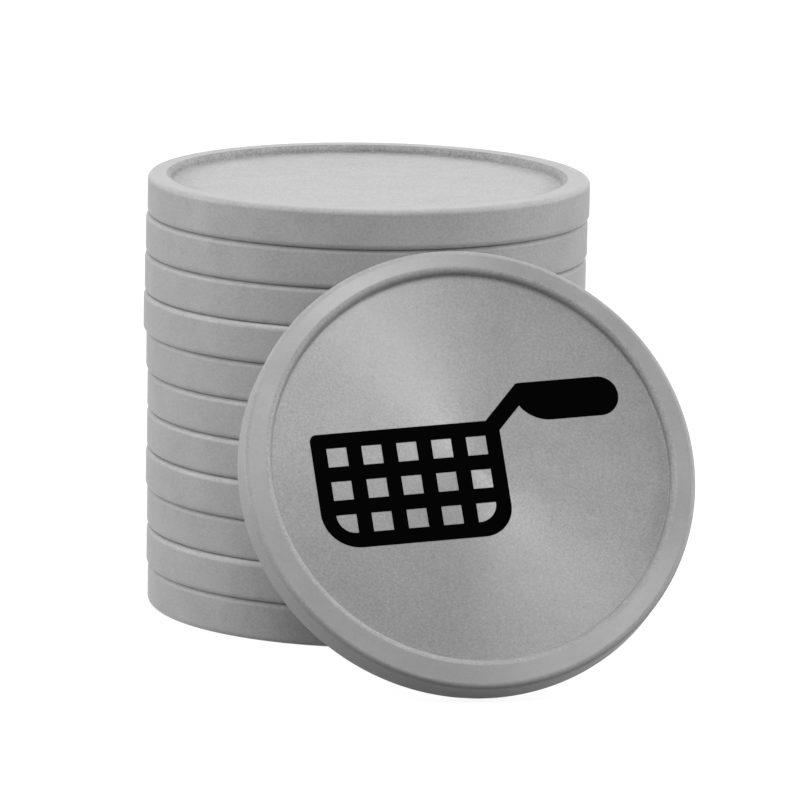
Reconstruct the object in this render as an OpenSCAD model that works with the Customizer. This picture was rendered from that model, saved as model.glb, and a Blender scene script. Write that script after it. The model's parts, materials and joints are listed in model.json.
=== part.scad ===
// Round plastic drink chips: a loose stack, and one more chip leaning on its front.
// The origin is the centre of the stack's base, +Z is up and the front looks towards -Y.

/* [Chip] */
// Diameter of a chip
chip_d = 29; // [20:0.5:45]
// Thickness of a chip over both of its rims
chip_t = 2.6; // [2:0.1:4]
// Width of the raised rim, from the chip's outside to the end of the rim's flat top
rim_w = 1.3; // [1.2:0.1:4]
// Depth of the recessed field below the rim, on each face
field_depth = 0.5; // [0.3:0.05:0.8]
// Radius of the rounded outer edges
edge_r = 0.35; // [0.1:0.05:0.9]
// Radius of the rim's inner edge
crest_r = 0.4; // [0.05:0.05:0.6]
// Radius of the hollow where the step down from the rim meets the field
cove_r = 0.1; // [0.05:0.05:0.6]
// How far off the chip's centre a recess may lie, as moulded
recess_slack = 0.2; // [0:0.05:0.4]

/* [Stack] */
// Number of chips in the stack
stack_count = 11; // [1:1:20]
// How far out of line a chip of the stack may lie
stack_slack = 0.5; // [0:0.05:1]

/* [Leaning chip] */
// Tilt of the leaning chip, back from upright
lean_angle = 29.5; // [10:0.5:50]
// Turn of the leaning chip about the vertical, from facing straight to the front
lean_turn = 12; // [-60:0.5:60]
// Distance of the leaning chip to the right of the stack's middle, along its face
lean_side = 1.6; // [-4:0.1:4]
// Clearance between the leaning chip and the stack
lean_gap = 0.05; // [0.02:0.01:0.5]

/* [Hidden] */
$fn = 96;
chip_color = "#9c9c9c";
front_color = "#a3a3a3";

// Chip section: half heights and radii, from the outside in
chip_r = chip_d / 2;
half_t = chip_t / 2;
web_t = chip_t - 2 * field_depth;
edge_x = chip_r - edge_r;
land_x = chip_r - rim_w;
// The two roundings of the step share its height, so together they never exceed it
step_share = min(1, field_depth / (crest_r + cove_r));
step_crest = crest_r * step_share;
step_cove = cove_r * step_share;
wall_x = land_x - step_crest;

// Place of each stack chip, bottom first, as a share of the slack to the right and to the back
drift = [
    [0, 0], [-0.2, -0.2], [-0.2, 0.2], [-0.4, -0.1], [-0.3, 0], [-0.3, 0.1],
    [-0.5, 0.2], [-0.9, 0.1], [-0.8, 0.3], [-0.7, 0.1], [-0.5, -0.3]
];
function stack_shift(i) = stack_slack * drift[(i - 1) % len(drift)];
// Place of each chip's recesses, as a share of their slack, with the leaning chip's on its own
cast = [
    [0.3, 0.5], [-0.6, 0.2], [0.4, -0.5], [-0.2, -0.7], [0.7, 0.1], [-0.5, 0.4],
    [0.2, 0.6], [0.5, -0.3], [-0.3, -0.5], [0.6, 0.4], [-0.6, 0.1]
];
front_cast = [0.5, 0.85];
stack_h = stack_count * chip_t;

// Horizontal directions of the leaning chip: the way it faces, and along its face
facing = [sin(lean_turn), -cos(lean_turn)];
along = [cos(lean_turn), sin(lean_turn)];
// Height of its centre when its lower back edge stands on the ground
lean_z = edge_x * cos(lean_angle) + (half_t - edge_r) * sin(lean_angle) + edge_r;
// Reach of the stack towards it
stack_reach = chip_r + max([for (i = [1:stack_count]) stack_shift(i) * facing]);
// Centre's distance from the stack's axis when its upper back edge meets the stack's side
side_rest = stack_reach + lean_gap + edge_r + (half_t - edge_r) * cos(lean_angle)
    + edge_x * sin(lean_angle);
// The same distance when its back lies on the top edge of a low stack
top_rest = stack_reach - edge_r + (stack_h - edge_r - lean_z) * tan(lean_angle)
    + (edge_r + half_t + lean_gap) / cos(lean_angle);
lean_xy = min(side_rest, top_rest) * facing + lean_side * along;

function chip_name(i) = str("chip_", i < 10 ? "0" : "", i);

// Part of the half section between two radii, centred on the chip's middle plane
module band(x0, x1, height) {
    translate([x0, -height / 2])
        square([x1 - x0, height]);
}

// Quarter of a disc, for a rounded edge
module quarter_disc(r) {
    intersection() {
        circle(r);
        square(r);
    }
}

// Half section of the plain disc, with its outer edges rounded
module disc_section() {
    band(0, edge_x, chip_t);
    band(edge_x, chip_r, chip_t - 2 * edge_r);
    for (face = [0, 1])
        mirror([0, face])
            translate([edge_x, half_t - edge_r])
                quarter_disc(edge_r);
}

// Half section of the recess, from the field up to past the rim's top
module recess_section() {
    difference() {
        union() {
            translate([0, web_t / 2])
                square([wall_x, 2 * field_depth]);
            translate([wall_x, half_t - step_crest])
                square([step_crest, step_crest + field_depth]);
        }
        translate([land_x, half_t - step_crest])
            circle(step_crest);
        translate([wall_x - step_cove, web_t / 2])
            difference() {
                square(step_cove);
                translate([0, step_cove])
                    circle(step_cove);
            }
    }
}

// One chip with its faces up and down, and a recess in each face
module chip(recess_at) {
    difference() {
        rotate_extrude()
            disc_section();
        for (face = [0, 1])
            translate(concat(recess_at, 0))
                mirror([0, 0, face])
                    rotate_extrude()
                        recess_section();
    }
}

// Chip of the stack, counted from 1 at the bottom
module stack_chip(i) {
    color(chip_color)
        translate(concat(stack_shift(i), (i - 0.5) * chip_t))
            chip(recess_slack * cast[(i - 1) % len(cast)]);
}

// Chip that stands on its edge in front of the stack
module front_chip() {
    color(front_color)
        translate(concat(lean_xy, lean_z))
            rotate([90 - lean_angle, 0, lean_turn])
                chip(recess_slack * front_cast);
}

for (i = [1:stack_count])
    stack_chip(i);
front_chip();
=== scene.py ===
import json
import math
import random
from typing import NamedTuple

import bmesh
import bpy
from bpy.props import FloatProperty, FloatVectorProperty, IntProperty, PointerProperty
from mathutils import Matrix, Vector

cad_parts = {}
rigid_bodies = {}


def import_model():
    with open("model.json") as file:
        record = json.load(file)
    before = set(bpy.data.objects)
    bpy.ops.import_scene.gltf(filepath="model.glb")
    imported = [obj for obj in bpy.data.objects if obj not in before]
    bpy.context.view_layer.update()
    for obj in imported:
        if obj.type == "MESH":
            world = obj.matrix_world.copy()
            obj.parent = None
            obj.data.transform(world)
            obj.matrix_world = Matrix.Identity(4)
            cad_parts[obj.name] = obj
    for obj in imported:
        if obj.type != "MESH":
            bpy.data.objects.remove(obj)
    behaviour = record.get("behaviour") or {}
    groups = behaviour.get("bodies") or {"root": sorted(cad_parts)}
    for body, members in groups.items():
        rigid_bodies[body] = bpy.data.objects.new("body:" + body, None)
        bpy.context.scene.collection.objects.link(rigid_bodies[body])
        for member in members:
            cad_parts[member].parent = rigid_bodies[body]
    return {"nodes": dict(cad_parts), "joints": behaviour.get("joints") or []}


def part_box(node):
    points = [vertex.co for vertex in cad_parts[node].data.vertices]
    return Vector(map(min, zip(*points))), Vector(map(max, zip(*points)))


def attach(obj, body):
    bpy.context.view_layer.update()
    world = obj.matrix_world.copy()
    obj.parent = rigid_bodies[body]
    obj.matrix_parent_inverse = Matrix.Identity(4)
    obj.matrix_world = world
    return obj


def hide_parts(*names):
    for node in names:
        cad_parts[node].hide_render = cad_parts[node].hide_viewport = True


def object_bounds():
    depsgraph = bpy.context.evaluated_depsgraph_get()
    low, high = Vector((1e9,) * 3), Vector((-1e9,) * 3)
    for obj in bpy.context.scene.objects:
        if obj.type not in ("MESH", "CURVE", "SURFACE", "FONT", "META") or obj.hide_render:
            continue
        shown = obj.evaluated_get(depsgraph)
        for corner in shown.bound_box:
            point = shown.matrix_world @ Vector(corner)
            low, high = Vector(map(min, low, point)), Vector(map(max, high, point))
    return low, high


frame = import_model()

bl_info = {
    "name": "Drink Chips",
    "version": (1, 0, 0),
    "blender": (4, 5, 0),
    "location": "View3D > Sidebar > Drink Chips",
    "description": "Moulds, prints and lights a stack of drink chips with one chip leaning on it",
    "category": "Object",
}

# The CAD model's box, whose middle the lamps are aimed at
CAD_LOW, CAD_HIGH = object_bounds()
MM = 0.001
TINY = 1e-6

FRONT = "front_chip"
STACK = sorted(node for node in frame["nodes"] if node != FRONT)

# A dressed chip is this many mm slimmer than its CAD chip, so that stacked faces never coincide
HAIR = 0.004
# A face of a chip counts as flat when the height of its normal is over this
FLAT = 0.999
# Facets across the outer edge, the rim's crest, the cove at the rim's foot and a corner of the print
EDGE_FACETS = 8
CREST_FACETS = 9
COVE_FACETS = 4
CORNER_FACETS = 12
# The middle of a rounded edge lies this share of its radius in from both of the sides that it joins
EDGE_MIDDLE = 0.3

# The first chip's nicks are drawn from this seed, and each further chip's from the next one
NICK_SEED = 29
# The smallest nick's reach and depth, as shares of the largest nick's
LEAST_NICK_SIZE = 0.5
LEAST_NICK_DEPTH = 0.3

# Names of the map and of the marks that a chip's mesh carries for its plastic
TURNED_MAP = "turned"
GRAIN_MARK = "grained"
# This mark carries paler plastic, painted highlight and painted shade
PAINTED_LIGHT_MARK = "paled_and_lit"
# How strongly the parts of a chip are grained
FIELD_GRAIN = 1.25
RIM_GRAIN = 0.3
SIDE_GRAIN = 0.7
# Share of the crest's radius, down from the rim's top, that is painted as the crest and not as the step
CREST_SHARE = 0.7

SKIN = "moulded_skin"
# Inputs of the skin and their usual values. Scales are per mm, but the painted rays' scale is per radius of
# the circle that the painted rays are read off
SKIN_INPUTS = {
    "Grain": 1.0,
    "Grain Scale": 6.5,
    "Grain Gloss": 0.12,
    "Cloud Scale": 0.35,
    "Cloud Tone": 0.4,
    "Cloud Gloss": 0.12,
    # Painted pale and dark rays on a turned face, standing in for highlight and shade
    "Painted Rays": 0.0,
    "Painted Rays Scale": 0.5,
    "Bearing": 0.0,
    # Paler plastic, painted highlight and, below 0, painted shade, as the mesh marks them
    "Pale And Painted Light": 0.0,
    "Pale And Painted Light Scale": 1.6,
    "Pale And Painted Light Contrast": 0.5,
    "Pale And Painted Light Tone": 0.25,
    "Pale And Painted Light Gloss": -0.05,
}
SKIN_OUTPUTS = ("Tone", "Gloss", "Height")
# A noise texture varies about this value
NOISE_MIDDLE = 0.5


class PaleAndPaintedLight(NamedTuple):
    """How much paler the parts of a chip are painted, or darker where the number is below 0: some of it
    paler plastic, most of it painted highlight and painted shade
    """

    rim: float
    crest: float
    step: float
    foot: float
    middle: float
    upper_edge: float
    lower_edge: float


# The leaning chip's rim is paler, and its crest, middle and outer edges take painted highlight. The stack's
# chips take painted shade on the crest, the step and the rim's foot, and a painted fill light on their lower
# edges; their rims and upper edges are a little paler
LEANING_PALE_AND_PAINTED_LIGHT = PaleAndPaintedLight(rim=1.0, crest=1.3, step=0.0, foot=0.0, middle=2.0, upper_edge=1.2, lower_edge=1.2)
STACK_PAINTED_SHADE_AND_LIGHT = PaleAndPaintedLight(rim=0.1, crest=-2.4, step=-2.4, foot=-1.2, middle=0.0, upper_edge=0.2, lower_edge=4.5)


def node_middle(node):
    """Middle of a CAD chip, which is also the middle of its box."""
    low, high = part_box(node)
    return (low + high) / 2


def node_span(node):
    """Size of a CAD chip's box."""
    low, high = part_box(node)
    return high - low


def stack_place(node):
    """Where a chip of the stack lies."""
    return Matrix.Translation(node_middle(node))


def leaning_place():
    """Where the leaning chip is: it slides along its face normal, so the slide's axis gives its tilt."""
    pull = next(joint for joint in frame["joints"] if joint["child"] == FRONT)
    normal = Vector(pull["axis"]).normalized()
    turn = Matrix.Rotation(math.atan2(normal.x, -normal.y), 4, "Z")
    tilt = Matrix.Rotation(math.acos(normal.z), 4, "X")
    return Matrix.Translation(node_middle(FRONT)) @ turn @ tilt


def length(name, description, millimetres):
    """A size in metres, given in millimetres."""
    return FloatProperty(
        name=name, description=description, default=millimetres * MM, min=0, unit="LENGTH", precision=6
    )


def angle(name, description, degrees):
    """An angle in radians, given in degrees."""
    return FloatProperty(name=name, description=description, default=math.radians(degrees), subtype="ANGLE")


def share(name, description, value):
    """A share between 0 and 1."""
    return FloatProperty(name=name, description=description, default=value, min=0, max=1, subtype="FACTOR")


def colour(name, description, grey):
    """A neutral colour."""
    return FloatVectorProperty(
        name=name, description=description, default=(grey, grey, grey), min=0, max=1, subtype="COLOR"
    )


class ChipSizes(bpy.types.PropertyGroup):
    """Sizes of one moulded chip"""

    diameter: length("Diameter", "Diameter of a chip", node_span(STACK[0]).x / MM - HAIR)
    thickness: length("Thickness", "Thickness over both rims", node_span(STACK[0]).z / MM - HAIR)
    rim_width: length("Rim width", "Width of the rim, in to the end of its flat top", 1.3)
    field_depth: length("Field depth", "Depth of the recessed field below the rim", 0.5)
    edge_round: length("Outer edge", "Radius of the rounded outer edges", 0.35)
    crest_round: length("Rim crest", "Radius of the rim's inner edge", 0.4)
    cove_round: length("Cove", "Radius of the hollow at the foot of the rim", 0.1)
    support: length("Support", "Distance of the loops that keep a flat face flat beside a rounding", 0.03)
    # The soil here is painted shade that the rim casts on the field beside its foot
    shade_fade_reach: length("Shade fade reach", "Width of the ring beside the rim's foot where soil fades out", 1.5)
    nick_size: length("Nick size", "Largest reach of a small nick in an edge", 0.6)
    nick_depth: length("Nick depth", "Largest depth of a small nick in an edge", 0.02)
    nicks: IntProperty(name="Nicks", description="Number of small nicks on one chip", default=8, min=0)
    turns: IntProperty(name="Turns", description="Facets round the chip", default=480, min=32)


class BasketPrint(bpy.types.PropertyGroup):
    """Sizes of the fry basket printed on the leaning chip, measured from the chip's middle"""

    left: length("Left", "Distance of the basket's left side from the chip's middle", 9.93)
    right: length("Right", "Distance of the basket's right side from the chip's middle", 2.31)
    top: length("Top", "Height of the basket's top above the chip's middle", 3.08)
    foot: length("Foot", "Depth of the basket's foot below the chip's middle", 4.5)
    bar: length("Bar", "Width of the basket's bars and of the wire to its grip", 0.97)
    columns: IntProperty(name="Columns", description="Mesh openings side by side", default=5, min=1)
    rows: IntProperty(name="Rows", description="Mesh openings above each other", default=3, min=1)
    top_round: length("Top corner", "Radius of the basket's upper left corner", 0.45)
    left_round: length("Left corner", "Radius of the basket's lower left corner", 2.4)
    right_round: length("Right corner", "Radius of the basket's lower right corner", 1.95)
    opening_round: share("Opening corner", "Rounding of the lower corner openings, as a share of them", 0.98)
    wire_round: length("Wire end", "Radius of the corner where the wire meets the grip's top", 0.15)
    grip_start: length("Grip start", "Distance of the grip's left end from the chip's middle", 3.82)
    grip_end: length("Grip end", "Distance of the grip's right end from the chip's middle", 10.33)
    grip_top: length("Grip top", "Height of the grip's top above the chip's middle", 5.4)
    grip_foot: length("Grip foot", "Height of the grip's underside above the chip's middle", 2.81)
    grip_round: length("Grip end rounding", "Radius of the grip's right end", 1.28)
    heel: length("Heel", "Distance of the grip's lower left corner, if sharp, from its left end", 0.62)
    heel_round: length("Heel rounding", "Length that the rounding of that corner takes off its sides", 1.3)
    film: length("Film", "Thickness of the ink", 0.02)
    sunk: share("Sunk", "Share of the ink's thickness that lies in the plastic", 0.25)
    turn: angle("Turn", "Turn of the print on the chip's face", 3.55)


class Finish(bpy.types.PropertyGroup):
    """Colours and gloss of the plastic, the ink and the ground"""

    plastic: colour("Plastic", "Colour of the moulded plastic", 0.36)
    rough: share("Roughness", "Roughness of the moulded plastic", 0.55)
    gloss: share("Gloss", "How strongly the moulded plastic reflects", 0.35)
    grain_height: length("Grain height", "Height of the plastic's grain", 0.008)
    printed_tone: share("Printed tone", "Tone of the printed chip against the chips of the stack", 0.8)
    turned_tone: share("Turned tone", "Tone of a turned face against the rest of its chip", 0.82)
    turned_rough: share("Turned roughness", "Roughness of a turned face, before it is stretched", 0.36)
    turned_gloss: share("Turned gloss", "How strongly a turned face reflects", 1.0)
    turned_reach: share("Turned reach", "How far the turning stretches highlights into rays", 1.0)
    # The flow rays are painted pale and dark rays that stand in for highlight and shade on a turned face
    flow: share("Painted Rays", "Strength of the pale and dark flow rays on a turned face", 1.0)
    painted_rays_start: angle("Painted rays start", "Bearing at which the pattern of flow rays starts", 117)
    ink: colour("Ink", "Colour of the printing ink", 0.0006)
    ink_rough: share("Ink roughness", "Roughness of the ink", 0.5)
    ink_gloss: share("Ink gloss", "How strongly the ink reflects", 0.006)
    ink_grain: length("Ink grain", "Height of the grain that shows through the ink", 0.004)
    ground: colour("Ground", "Colour that the floor throws back onto the chips", 0.12)
    ground_shade: colour("Ground shade", "Colour of the floor where the chips' shadow shows on it", 0.25)
    ground_glow: share("Ground glow", "White that the floor gives off to the camera by itself", 0.9)


class Studio(bpy.types.PropertyGroup):
    """Camera, floor and lamps"""

    lens: FloatProperty(name="Lens", description="Focal length of the camera", default=317.9, unit="CAMERA")
    distance: length("Distance", "Distance of the camera in front of the stack's middle", 458.09)
    height: length("Height", "Height of the camera above the floor", 100.29)
    side: length("Side", "Distance of the camera to the right of the stack's middle", 1.40)
    yaw: angle("Yaw", "Turn of the camera to the right", 0.078)
    pitch: angle("Pitch", "Tilt of the camera below the horizon", 10.718)
    roll: angle("Roll", "Roll of the camera to the left", 0.967)
    nearest: length("Nearest", "Shortest distance at which the camera sees a thing", 10)
    floor: length("Floor", "Length of the floor's side", 4000)
    far_lamps: length("Far lamps", "Distance of the large lamps from the middle of the chips", 600)
    near_lamps: length("Near lamps", "Distance of the small lamps from the middle of the chips", 180)
    surroundings: share("Surroundings", "How strongly the white surroundings light the chips", 0.21)


class ChipSet(bpy.types.PropertyGroup):
    """Everything that can be set on the chips"""

    chip: PointerProperty(type=ChipSizes)
    sign: PointerProperty(type=BasketPrint)
    finish: PointerProperty(type=Finish)
    studio: PointerProperty(type=Studio)


def add_node(tree, kind, **values):
    """A shader node with some of its inputs or properties set. A socket as a value is linked."""
    made = tree.nodes.new(kind)
    for key, value in values.items():
        label = key.replace("_", " ")
        if label not in made.inputs:
            setattr(made, key, value)
        elif isinstance(value, bpy.types.NodeSocket):
            tree.links.new(value, made.inputs[label])
        else:
            made.inputs[label].default_value = value
    return made


def reckon(tree, operation, *values):
    """Output of a maths node, whose values are numbers or other nodes' outputs."""
    made = tree.nodes.new("ShaderNodeMath")
    made.operation = operation
    for socket, value in zip(made.inputs, values):
        if isinstance(value, bpy.types.NodeSocket):
            tree.links.new(value, socket)
        else:
            socket.default_value = value
    return made.outputs[0]


def add_up(tree, start, *terms):
    """A number plus some outputs, each times its weight, which is a number or another output."""
    total = start
    for value, weight in terms:
        total = reckon(tree, "MULTIPLY_ADD", value, weight, total)
    return total


def skin_group():
    """Skin shared by plastic and ink: fine grain, a cloudy tone, painted pale and dark rays that stand in
    for highlight and shade, and places painted paler or darker, which are partly paler plastic and mostly
    painted highlight and painted shade.
    """
    if SKIN in bpy.data.node_groups:
        return bpy.data.node_groups[SKIN]
    group = bpy.data.node_groups.new(SKIN, "ShaderNodeTree")
    for label, value in SKIN_INPUTS.items():
        socket = group.interface.new_socket(label, in_out="INPUT", socket_type="NodeSocketFloat")
        socket.default_value = value
    for label in SKIN_OUTPUTS:
        group.interface.new_socket(label, in_out="OUTPUT", socket_type="NodeSocketFloat")
    given = group.nodes.new("NodeGroupInput").outputs
    put_out = group.nodes.new("NodeGroupOutput").inputs

    def noise(place, scale, detail, rough=0.75):
        """Noise that varies about 0."""
        made = add_node(
            group, "ShaderNodeTexNoise", Vector=place, Scale=scale, Detail=detail, Roughness=rough
        )
        return reckon(group, "SUBTRACT", made.outputs[0], NOISE_MIDDLE)

    place = add_node(group, "ShaderNodeTexCoord").outputs["Object"]
    in_mm = add_node(group, "ShaderNodeVectorMath", operation="SCALE", Vector=place, Scale=1 / MM).outputs[0]
    grain = reckon(group, "MULTIPLY", noise(in_mm, given["Grain Scale"], detail=3), given["Grain"])
    cloud = noise(in_mm, given["Cloud Scale"], detail=4)

    # The painted pale and dark rays, which stand in for highlight and shade, vary with the bearing alone, so
    # they are read off a circle
    across = reckon(group, "COSINE", given["Bearing"])
    along = reckon(group, "SINE", given["Bearing"])
    heading = add_node(group, "ShaderNodeCombineXYZ", X=across, Y=along).outputs[0]
    painted_rays = noise(heading, given["Painted Rays Scale"], detail=6, rough=0.5)

    # Patches of paler plastic, painted highlight and painted shade, as the mesh marks them
    patches = noise(in_mm, given["Pale And Painted Light Scale"], detail=3)
    patch = reckon(group, "MULTIPLY_ADD", patches, given["Pale And Painted Light Contrast"], NOISE_MIDDLE)
    paling_and_light = reckon(group, "MULTIPLY", given["Pale And Painted Light"], patch)

    # The painted rays, painted highlight and painted shade lighten or darken the base colour's tone
    tone = add_up(
        group, 1.0,
        (grain, 1.0),
        (cloud, given["Cloud Tone"]),
        (painted_rays, given["Painted Rays"]),
        (paling_and_light, given["Pale And Painted Light Tone"]),
    )
    gloss = add_up(
        group, 0.0,
        (grain, given["Grain Gloss"]),
        (cloud, given["Cloud Gloss"]),
        (paling_and_light, given["Pale And Painted Light Gloss"]),
    )
    group.links.new(tone, put_out["Tone"])
    group.links.new(gloss, put_out["Gloss"])
    group.links.new(grain, put_out["Height"])
    return group


def skinned_material(name, base, rough, gloss, grain_height):
    """Material with the moulded skin: its base colour and roughness vary, and its grain stands out."""
    material = bpy.data.materials.new(name)
    material.use_nodes = True
    tree = material.node_tree
    skin = add_node(tree, "ShaderNodeGroup", name=SKIN, node_tree=skin_group())
    tone = add_node(tree, "ShaderNodeVectorMath", operation="SCALE", Vector=base, Scale=skin.outputs["Tone"])
    height = skin.outputs["Height"]
    bump = add_node(tree, "ShaderNodeBump", Strength=1.0, Distance=grain_height, Height=height)
    shader = tree.nodes["Principled BSDF"]
    shader.inputs["Specular IOR Level"].default_value = gloss
    tree.links.new(tone.outputs[0], shader.inputs["Base Color"])
    tree.links.new(reckon(tree, "ADD", skin.outputs["Gloss"], rough), shader.inputs["Roughness"])
    tree.links.new(bump.outputs["Normal"], shader.inputs["Normal"])
    return material


def plastic(name, base, rough, gloss, grain_height):
    """Grey plastic whose skin follows the marks on the chip's mesh."""
    material = skinned_material(name, base, rough, gloss, grain_height)
    tree = material.node_tree
    # The second mark paints paler plastic, painted highlight and painted shade into the skin
    for label, mark in (("Grain", GRAIN_MARK), ("Pale And Painted Light", PAINTED_LIGHT_MARK)):
        read = add_node(tree, "ShaderNodeAttribute", attribute_name=mark)
        tree.links.new(read.outputs["Fac"], tree.nodes[SKIN].inputs[label])
    return material


def stack_plastics(finish):
    """Plastic of the stack's chips, as it comes out of the mould."""
    name = "moulded_plastic"
    if name in bpy.data.materials:
        return [bpy.data.materials[name]]
    return [plastic(name, finish.plastic, finish.rough, finish.gloss, finish.grain_height)]


def printed_plastics(finish):
    """Plastics of the printed chip: as moulded, and turned on its flat faces."""
    base = Vector(finish.plastic) * finish.printed_tone
    moulded = plastic("printed_chip_plastic", base, finish.rough, finish.gloss, finish.grain_height)
    return [moulded, turned_plastic(finish, base * finish.turned_tone)]


def turned_plastic(finish, base):
    """Plastic turned on a lathe, whose fine lines run round the chip and stretch highlights into rays."""
    material = plastic("turned_plastic", base, finish.turned_rough, finish.turned_gloss, finish.grain_height)
    tree = material.node_tree
    skin = tree.nodes[SKIN]
    # Painted pale and dark rays, standing in for highlight and shade, run across the turned face by bearing
    skin.inputs["Painted Rays"].default_value = finish.flow
    turned_map = add_node(tree, "ShaderNodeUVMap", uv_map=TURNED_MAP)
    split = add_node(tree, "ShaderNodeSeparateXYZ", Vector=turned_map.outputs["UV"])
    tree.links.new(split.outputs["Y"], skin.inputs["Bearing"])
    lines = add_node(tree, "ShaderNodeTangent", direction_type="UV_MAP", uv_map=TURNED_MAP)
    shader = tree.nodes["Principled BSDF"]
    shader.inputs["Anisotropic"].default_value = finish.turned_reach
    tree.links.new(lines.outputs["Tangent"], shader.inputs["Tangent"])
    return material


def ink_material(finish):
    """Flat black printing ink over the plastic's grain."""
    return skinned_material("black_ink", finish.ink, finish.ink_rough, finish.ink_gloss, finish.ink_grain)


def seen_mask(tree):
    """1 where the camera sees a surface, straight, in a reflection or through glass, and otherwise 0."""
    path = add_node(tree, "ShaderNodeLightPath").outputs
    mirrored = reckon(tree, "MAXIMUM", path["Is Camera Ray"], path["Is Glossy Ray"])
    return reckon(tree, "MAXIMUM", mirrored, path["Is Transmission Ray"])


def floor_material(finish):
    """Pale floor that looks white, apart from the chips' soft shadow."""
    material = bpy.data.materials.new("pale_floor")
    material.use_nodes = True
    material.cycles.emission_sampling = "NONE"
    tree = material.node_tree
    tree.nodes.clear()
    ground = add_node(tree, "ShaderNodeBsdfDiffuse", Color=(*finish.ground, 1))
    shaded = add_node(tree, "ShaderNodeBsdfDiffuse", Color=(*finish.ground_shade, 1))
    glow = add_node(tree, "ShaderNodeEmission", Strength=finish.ground_glow)
    white = add_node(tree, "ShaderNodeAddShader")
    tree.links.new(shaded.outputs[0], white.inputs[0])
    tree.links.new(glow.outputs[0], white.inputs[1])
    mix = add_node(tree, "ShaderNodeMixShader", Fac=seen_mask(tree))
    tree.links.new(ground.outputs[0], mix.inputs[1])
    tree.links.new(white.outputs[0], mix.inputs[2])
    output = add_node(tree, "ShaderNodeOutputMaterial")
    tree.links.new(mix.outputs[0], output.inputs["Surface"])
    return material


def new_piece(name, bm, *materials):
    """Turn a finished bmesh into an object at the origin."""
    mesh = bpy.data.meshes.new(name)
    bm.to_mesh(mesh)
    bm.free()
    for material in materials:
        mesh.materials.append(material)
    piece = bpy.data.objects.new(name, mesh)
    bpy.context.scene.collection.objects.link(piece)
    return piece


def chip_blank(bm, size):
    """Turn a chip: half a section with sharp corners is spun about the chip's axis and then rounded."""
    radius = size.diameter / 2
    half = size.thickness / 2
    web = half - size.field_depth
    land = radius - size.rim_width
    wall = land - size.crest_round
    upper = [
        (0, web),
        # Painted shade beside the rim's foot fades out to this ring
        (wall - size.cove_round - size.shade_fade_reach, web),
        (wall - size.cove_round - size.support, web),
        (wall, web),
        (wall, half),
        (land + size.support, half),
        (radius - size.edge_round - size.support, half),
        (radius, half),
        (radius, half - size.edge_round - size.support),
    ]
    section = upper + [(x, -z) for x, z in reversed(upper)]
    points = [bm.verts.new((x, 0, z)) for x, z in section]
    for start, end in zip(points, points[1:]):
        bm.edges.new((start, end))
    bmesh.ops.spin(
        bm, geom=bm.verts[:] + bm.edges[:], cent=(0, 0, 0), axis=(0, 0, 1),
        angle=math.tau, steps=size.turns, use_merge=True,
    )
    bmesh.ops.remove_doubles(bm, verts=bm.verts, dist=TINY)
    round_rings(bm, radius, half, size.edge_round, EDGE_FACETS)
    round_rings(bm, wall, half, size.crest_round, CREST_FACETS)
    round_rings(bm, wall, web, size.cove_round, COVE_FACETS)
    bmesh.ops.remove_doubles(bm, verts=bm.verts, dist=TINY)
    bmesh.ops.recalc_face_normals(bm, faces=bm.faces)


def round_rings(bm, radius, height, rounding, facets):
    """Round the two sharp rings of a chip that lie at this radius and at this height, above and below."""

    def on_ring(vert):
        return abs(vert.co.xy.length - radius) < TINY and abs(abs(vert.co.z) - height) < TINY

    corners = {vert for vert in bm.verts if on_ring(vert)}
    edges = [edge for edge in bm.edges if edge.verts[0] in corners and edge.verts[1] in corners]
    bmesh.ops.bevel(
        bm, geom=edges, offset=rounding, offset_type="OFFSET", affect="EDGES",
        segments=facets, profile=0.5, material=-1, clamp_overlap=False,
    )


def section_run(size, r, z):
    """Length along the chip's section from the middle of its upper face to a point."""
    radius = size.diameter / 2
    half = size.thickness / 2
    web = half - size.field_depth
    inside = r < radius - size.rim_width
    run = r + abs(z) - web if inside else r + size.field_depth + half - abs(z)
    whole = 2 * (radius + size.field_depth + half)
    return run if z >= 0 else whole - run


def lay_turned_map(bm, size, start):
    """Map the turned finish: u runs along the section in chip radii, and v is the bearing from a start."""
    turned = bm.loops.layers.uv.new(TURNED_MAP)
    radius = size.diameter / 2
    for face in bm.faces:
        middle = face.calc_center_median().xy
        bearing = math.atan2(middle.y, middle.x)
        for loop in face.loops:
            spot = loop.vert.co.xy
            run = section_run(size, spot.length, loop.vert.co.z)
            # A point on the chip's axis has no bearing of its own, so it takes its face's
            step = middle.angle_signed(spot, 0) if spot.length > TINY else 0
            loop[turned].uv = (run / radius, start + bearing - step)


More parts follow.
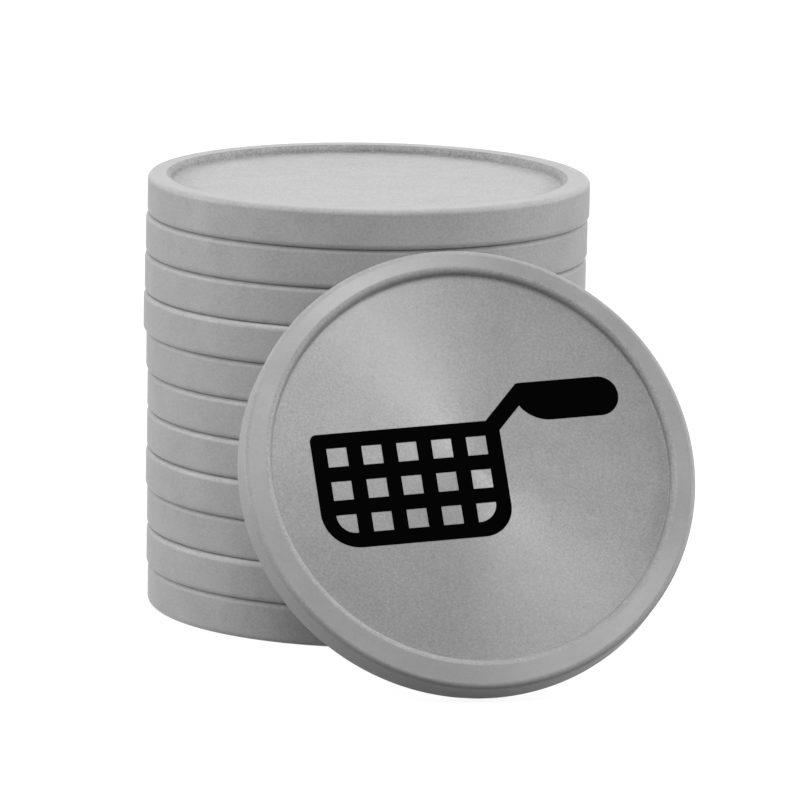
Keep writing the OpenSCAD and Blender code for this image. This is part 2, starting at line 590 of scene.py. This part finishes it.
def mark_grain_and_painted_light(bm, size, pale_and_painted):
    """Note on the mesh how strongly the moulded skin is grained, and where it is painted paler or darker:
    partly paler plastic, mostly painted highlight and painted shade.
    """
    radius = size.diameter / 2
    half = size.thickness / 2
    land = radius - size.rim_width
    foot = land - size.crest_round - size.cove_round
    crest_end = half - size.crest_round * CREST_SHARE
    grained = bm.verts.layers.float.new(GRAIN_MARK)
    paled_and_lit = bm.verts.layers.float.new(PAINTED_LIGHT_MARK)
    for vert in bm.verts:
        r = vert.co.xy.length
        z = abs(vert.co.z)
        grain = FIELD_GRAIN
        paling_and_light = 0.0
        if r > land - TINY and z > half - TINY:
            grain = RIM_GRAIN
            paling_and_light = pale_and_painted.rim
        elif r > land - TINY:
            # An outer edge's paleness, painted fill light and painted highlight fade out from the rim to the
            # chip's side
            near_rim = max(0.0, 1 - (half - z) / size.edge_round)
            grain = SIDE_GRAIN
            paling_and_light = near_rim * (pale_and_painted.upper_edge if vert.co.z > 0 else pale_and_painted.lower_edge)
        elif r > foot - TINY:
            # The crest takes painted highlight on the leaning chip and painted shade on the stack's chips;
            # the step takes painted shade
            paling_and_light = pale_and_painted.crest if z > crest_end else pale_and_painted.step
        # The ring beside the rim's foot takes painted shade, which fades out across the field
        elif r > foot - size.support - TINY:
            paling_and_light = pale_and_painted.foot
        # The face's middle takes a painted glow that fades out across the field
        elif r < TINY:
            paling_and_light = pale_and_painted.middle
        vert[grained] = grain
        vert[paled_and_lit] = paling_and_light


def nick_edges(bm, size, seed):
    """Press small nicks into the rounded outer edges, each at a place of its own."""
    draw = random.Random(seed)
    radius = size.diameter / 2
    half = size.thickness / 2
    inset = size.edge_round * EDGE_MIDDLE
    band = [vert for vert in bm.verts if vert.co.xy.length > radius - size.edge_round - size.nick_size]
    for _ in range(size.nicks):
        turn = draw.uniform(0, math.tau)
        face = draw.choice((-1, 1))
        reach = size.nick_size * draw.uniform(LEAST_NICK_SIZE, 1.0)
        depth = size.nick_depth * draw.uniform(LEAST_NICK_DEPTH, 1.0)
        outward = Vector((math.cos(turn), math.sin(turn), 0))
        corner = outward * (radius - inset)
        corner.z = face * (half - inset)
        inward = -(outward + Vector((0, 0, face))).normalized()
        for vert in band:
            near = 1 - (vert.co - corner).length / reach
            if near > 0:
                # The nick starts and ends softly
                vert.co += inward * depth * near * near * (3 - 2 * near)


def recess_middle(node, place, size):
    """Middle of a CAD chip's recesses, which lie a little off the chip's own middle."""
    back = place.inverted()
    field = size.thickness / 2 - size.field_depth
    points = [back @ vert.co for vert in bpy.data.objects[node].data.vertices]
    border = [point for point in points if abs(abs(point.z) - field) < HAIR * MM]
    if not border:
        raise RuntimeError(f"{node} has no recessed field")
    across = [point.x for point in border]
    upwards = [point.y for point in border]
    return Vector(((min(across) + max(across)) / 2, (min(upwards) + max(upwards)) / 2, 0))


def make_chip(context, name, node, place, seed, turned):
    """One dressed chip, in place of the CAD chip. A turned chip's flat faces have their own finish."""
    chips = context.scene.chip_set
    size = chips.chip
    bm = bmesh.new()
    chip_blank(bm, size)
    for face in bm.faces:
        face.smooth = True
        face.material_index = 1 if turned and abs(face.normal.z) > FLAT else 0
    # The turned map's bearing also lays the painted rays
    lay_turned_map(bm, size, chips.finish.painted_rays_start)
    # The marks carry paler plastic, painted highlight and painted shade
    mark_grain_and_painted_light(bm, size, LEANING_PALE_AND_PAINTED_LIGHT if turned else STACK_PAINTED_SHADE_AND_LIGHT)
    nick_edges(bm, size, seed)
    step_end = size.diameter / 2 - size.rim_width + size.support + TINY
    recess = [vert for vert in bm.verts if vert.co.xy.length < step_end]
    bmesh.ops.translate(bm, vec=recess_middle(node, place, size), verts=recess)
    bmesh.ops.transform(bm, matrix=place, verts=bm.verts)
    plastics = printed_plastics(chips.finish) if turned else stack_plastics(chips.finish)
    piece = new_piece(name, bm, *plastics)
    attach(piece, node)
    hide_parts(node)


def closed_line(bm, points):
    """A closed line of straight edges whose corners are then rounded: each point is x, y and radius."""
    corners = [bm.verts.new((x, y, 0)) for x, y, _ in points]
    for start, end in zip(corners, corners[1:] + corners[:1]):
        bm.edges.new((start, end))
    for corner, (_, _, rounding) in zip(corners, points):
        if rounding > 0:
            bmesh.ops.bevel(
                bm, geom=[corner], offset=rounding, offset_type="OFFSET", affect="VERTICES",
                segments=CORNER_FACETS, profile=0.5, material=-1,
            )


def basket_outline(bm, sign):
    """Outline of the printed basket, with the wire that runs up to its grip at 45 degrees."""
    slant = sign.bar / math.sqrt(2)
    wire_top = sign.grip_start - (sign.grip_top - sign.top)
    wire_foot = sign.top - slant
    notch = wire_foot + sign.grip_start - sign.right
    closed_line(bm, [
        (-sign.left, sign.top, sign.top_round),
        (wire_top, sign.top, 0),
        (sign.grip_start, sign.grip_top, sign.wire_round),
        (sign.grip_end, sign.grip_top, sign.grip_round),
        (sign.grip_end, sign.grip_foot, sign.grip_round),
        (sign.grip_start + sign.heel, sign.grip_foot, sign.heel_round),
        (sign.grip_start, notch, 0),
        (sign.right, wire_foot, 0),
        (sign.right, -sign.foot, sign.right_round),
        (-sign.left, -sign.foot, sign.left_round),
    ])


def basket_openings(bm, sign):
    """Openings of the basket's mesh. The two at the lower corners are rounded with the basket."""
    step_x = (sign.left + sign.right - sign.bar) / sign.columns
    step_y = (sign.top + sign.foot - sign.bar) / sign.rows
    wide = step_x - sign.bar
    high = step_y - sign.bar
    corner = sign.opening_round * min(wide, high)
    for row in range(sign.rows):
        for column in range(sign.columns):
            x = -sign.left + sign.bar + column * step_x
            y = sign.top - sign.bar - row * step_y
            lowest = row == sign.rows - 1
            closed_line(bm, [
                (x, y, 0),
                (x + wide, y, 0),
                (x + wide, y - high, corner if lowest and column == sign.columns - 1 else 0),
                (x, y - high, corner if lowest and column == 0 else 0),
            ])


def lit_world(surroundings):
    """White surroundings that look white and light the chips only a little."""
    world = bpy.data.worlds.new("studio")
    bpy.context.scene.world = world
    world.cycles.sampling_method = "NONE"
    world.use_nodes = True
    tree = world.node_tree
    strength = add_node(tree, "ShaderNodeMapRange", Value=seen_mask(tree), To_Min=surroundings, To_Max=1.0)
    background = tree.nodes["Background"]
    background.inputs["Color"].default_value = (1, 1, 1, 1)
    tree.links.new(strength.outputs["Result"], background.inputs["Strength"])


def softbox(name, reach, azimuth, elevation, width, power):
    """A square lamp aimed at the middle of the chips. Azimuth 0 is the front, and 90 degrees the right."""
    bearing = math.radians(azimuth)
    rise = math.radians(elevation)
    away = Vector((math.sin(bearing) * math.cos(rise), -math.cos(bearing) * math.cos(rise), math.sin(rise)))
    lamp = bpy.data.lights.new(name, "AREA")
    lamp.size = width
    lamp.energy = power
    made = bpy.data.objects.new(name, lamp)
    made.location = (CAD_LOW + CAD_HIGH) / 2 + away * reach
    made.rotation_euler = away.to_track_quat("Z", "Y").to_euler()
    made.visible_camera = False
    bpy.context.scene.collection.objects.link(made)


def hang_lamps(studio):
    """Large lamps all round and above, and two small ones close to the leaning chip."""
    far = studio.far_lamps
    near = studio.near_lamps
    softbox("left_softbox", far, azimuth=264, elevation=8, width=0.35, power=2.95)
    softbox("right_softbox", far, azimuth=98, elevation=8, width=0.45, power=3.5)
    softbox("back_softbox", far, azimuth=180, elevation=38, width=0.8, power=1.2)
    softbox("front_softbox", far, azimuth=10, elevation=10, width=0.5, power=0.3)
    softbox("top_softbox", far, azimuth=15, elevation=68, width=0.25, power=1.3)
    softbox("near_top_softbox", near, azimuth=350, elevation=70, width=0.08, power=0.08)
    softbox("near_front_softbox", near, azimuth=340, elevation=40, width=0.08, power=0.055)


def set_camera(context, studio):
    """Stand the camera in front of the chips, aim it, and make it the scene's camera."""
    lens = bpy.data.cameras.new("camera")
    lens.lens = studio.lens
    lens.clip_start = studio.nearest
    camera = bpy.data.objects.new("camera", lens)
    stand = Matrix.Translation((studio.side, -studio.distance, studio.height))
    aim = (
        Matrix.Rotation(-studio.yaw, 4, "Z")
        @ Matrix.Rotation(math.pi / 2 - studio.pitch, 4, "X")
        @ Matrix.Rotation(studio.roll, 4, "Z")
    )
    camera.matrix_world = stand @ aim
    context.scene.collection.objects.link(camera)
    context.scene.camera = camera


class CHIPS_OT_stack(bpy.types.Operator):
    """Mould the chips of the stack"""

    bl_idname = "chips.stack"
    bl_label = "Stack of chips"

    def execute(self, context):
        for number, node in enumerate(STACK):
            make_chip(context, "stack_" + node, node, stack_place(node), NICK_SEED + number, False)
        return {"FINISHED"}


class CHIPS_OT_leaning(bpy.types.Operator):
    """Mould the chip that leans on the stack"""

    bl_idname = "chips.leaning"
    bl_label = "Leaning chip"

    def execute(self, context):
        make_chip(context, "leaning_chip", FRONT, leaning_place(), NICK_SEED + len(STACK), True)
        return {"FINISHED"}


class CHIPS_OT_print(bpy.types.Operator):
    """Print the fry basket on the leaning chip"""

    bl_idname = "chips.print"
    bl_label = "Printed basket"

    def execute(self, context):
        chips = context.scene.chip_set
        sign = chips.sign
        bm = bmesh.new()
        basket_outline(bm, sign)
        basket_openings(bm, sign)
        bmesh.ops.triangle_fill(bm, edges=bm.edges[:], use_beauty=True, normal=(0, 0, 1))
        film = bmesh.ops.extrude_face_region(bm, geom=bm.faces[:])
        risen = [item for item in film["geom"] if isinstance(item, bmesh.types.BMVert)]
        bmesh.ops.translate(bm, vec=(0, 0, sign.film), verts=risen)
        bmesh.ops.recalc_face_normals(bm, faces=bm.faces)
        field = chips.chip.thickness / 2 - chips.chip.field_depth
        on_field = Matrix.Translation((0, 0, field - sign.film * sign.sunk))
        turned = Matrix.Rotation(sign.turn, 4, "Z")
        bmesh.ops.transform(bm, matrix=leaning_place() @ on_field @ turned, verts=bm.verts)
        piece = new_piece("fry_basket_print", bm, ink_material(chips.finish))
        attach(piece, FRONT)
        return {"FINISHED"}


class CHIPS_OT_stage(bpy.types.Operator):
    """Lay the floor, hang the lamps and set up the camera"""

    bl_idname = "chips.stage"
    bl_label = "Studio"

    def execute(self, context):
        chips = context.scene.chip_set
        studio = chips.studio
        bm = bmesh.new()
        bmesh.ops.create_grid(bm, x_segments=2, y_segments=2, size=studio.floor / 2)
        floor = new_piece("floor", bm, floor_material(chips.finish))
        lit_world(studio.surroundings)
        hang_lamps(studio)
        set_camera(context, studio)
        context.scene.view_settings.view_transform = "Standard"
        return {"FINISHED"}


class CHIPS_PT_panel(bpy.types.Panel):
    """Sidebar panel of the drink chips, with their operators and values"""

    bl_idname = "CHIPS_PT_panel"
    bl_label = "Drink Chips"
    bl_space_type = "VIEW_3D"
    bl_region_type = "UI"
    bl_category = "Drink Chips"

    def draw(self, context):
        for operator in OPERATORS:
            self.layout.operator(operator.bl_idname)
        chips = context.scene.chip_set
        for values in (chips.chip, chips.sign, chips.finish, chips.studio):
            box = self.layout.box()
            for name in type(values).__annotations__:
                box.prop(values, name)


OPERATORS = (CHIPS_OT_stack, CHIPS_OT_leaning, CHIPS_OT_print, CHIPS_OT_stage)
CLASSES = (ChipSizes, BasketPrint, Finish, Studio, ChipSet, *OPERATORS, CHIPS_PT_panel)


def register():
    for kind in CLASSES:
        bpy.utils.register_class(kind)
    bpy.types.Scene.chip_set = PointerProperty(type=ChipSet)


def unregister():
    del bpy.types.Scene.chip_set
    for kind in reversed(CLASSES):
        bpy.utils.unregister_class(kind)


def main():
    register()
    bpy.ops.chips.stack()
    bpy.ops.chips.leaning()
    bpy.ops.chips.print()
    bpy.ops.chips.stage()


if __name__ == "__main__":
    main()
